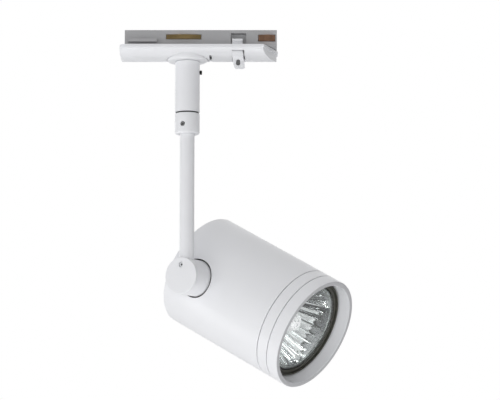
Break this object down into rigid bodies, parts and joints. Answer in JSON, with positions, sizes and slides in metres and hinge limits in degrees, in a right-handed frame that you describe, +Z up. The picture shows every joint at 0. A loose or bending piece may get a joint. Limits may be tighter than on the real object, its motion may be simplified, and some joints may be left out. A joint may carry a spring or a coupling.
{
  "type": "track spotlight",
  "caption": "Cylindrical reflector-lamp spotlight on a thin stem with a side tilt knuckle and a swivel column, hung from a long track adapter with a latch tab.",
  "frame": {"origin": "middle of the flat top face of the adapter block, above the stem's axis", "axes": "+Z up, out of the track face and along the stem's axis; +X along the track; -Y towards the viewer, the side that the latch tab and the knuckle's cap face"},
  "size_m": [0.1302, 0.0962, 0.1985],
  "materials": {
    "white_paint": "satin white powder coat",
    "white_plastic": "satin white moulding",
    "grey_plastic": "moulded insulator",
    "brass": "plain",
    "steel": "zinc plated",
    "dark_steel": "blackened",
    "black_plastic": "moulded",
    "ceramic": "unglazed, off-white",
    "cable_sheath": "heat-resistant sheath",
    "mirror_coating": "faceted reflective coating on pressed glass",
    "clear_glass": "clear",
    "dark_silicone": "matte heat-resistant ring"
  },
  "bodies": {
    "adapter": {"adapter_cover": "white_plastic", "adapter_body": "grey_plastic", "contact_live": "brass", "contact_neutral": "brass", "contact_earth": "brass", "cover_screw_left": "steel", "cover_screw_right": "steel", "terminal_block": "ceramic", "adapter_flange": "white_paint", "flange_nut": "steel", "latch_pin": "steel", "latch_spring": "steel", "column_tube": "white_paint", "column_grub_screw": "dark_steel", "swivel_washer": "black_plastic", "swivel_spring_washer": "steel", "swivel_nut": "brass", "supply_cable": "cable_sheath"},
    "latch": {"latch_lever": "white_plastic", "latch_backing_plate": "dark_steel"},
    "stem": {"swivel_spindle": "brass", "swivel_sleeve": "white_paint", "sleeve_grub_screw": "dark_steel", "stem_tube": "white_paint", "knuckle_housing": "white_paint", "knuckle_cap": "white_paint", "knuckle_grub_screw": "steel", "tilt_bolt": "steel", "tilt_friction_washer": "black_plastic"},
    "lamp_housing": {"body_shell": "white_paint", "middle_ring": "white_paint", "rear_cap": "white_paint", "chassis_bracket": "steel", "rear_screw_left": "steel", "rear_screw_right": "steel", "tilt_spring_washer": "steel", "tilt_nut": "steel", "lamp_holder": "ceramic", "holder_standoff_left": "brass", "holder_standoff_right": "brass", "holder_screw_left": "steel", "holder_screw_right": "steel", "lamp_cable": "cable_sheath"},
    "front_ring": {"front_ring": "white_paint", "lamp_retainer": "dark_silicone"},
    "bulb": {"lamp_reflector": "mirror_coating", "lamp_front_glass": "clear_glass", "lamp_base": "ceramic", "lamp_capsule": "clear_glass", "lamp_pin_a": "steel", "lamp_pin_b": "steel"}
  },
  "joints": [
    {"name": "latch", "type": "hinge", "parent": "adapter", "child": "latch", "pos_m": [0.0287, -0.0096, -0.011], "axis": [-1, 0, 0], "range_deg": [0, 18], "stiffness_Nm_per_rad": 0.02, "springref_deg": -11.46},
    {"name": "pan", "type": "hinge", "parent": "adapter", "child": "stem", "pos_m": [0, 0, -0.046], "axis": [0, 0, 1], "range_deg": [-175, 175]},
    {"name": "tilt", "type": "hinge", "parent": "stem", "child": "lamp_housing", "pos_m": [0, 0, -0.1381], "axis": [0.5225, 0.8526, 0], "range_deg": [-28.6, 61.4]},
    {"name": "front_ring_turn", "type": "hinge", "parent": "lamp_housing", "child": "front_ring", "pos_m": [0.02106, 0.03436, -0.1381], "axis": [0.7486, -0.4587, -0.4787], "range_deg": [0, 45]},
    {"name": "bulb_twist", "type": "hinge", "parent": "lamp_housing", "child": "bulb", "pos_m": [0.02106, 0.03436, -0.1381], "axis": [0.7486, -0.4587, -0.4787], "range_deg": [0, 15]}
  ]
}
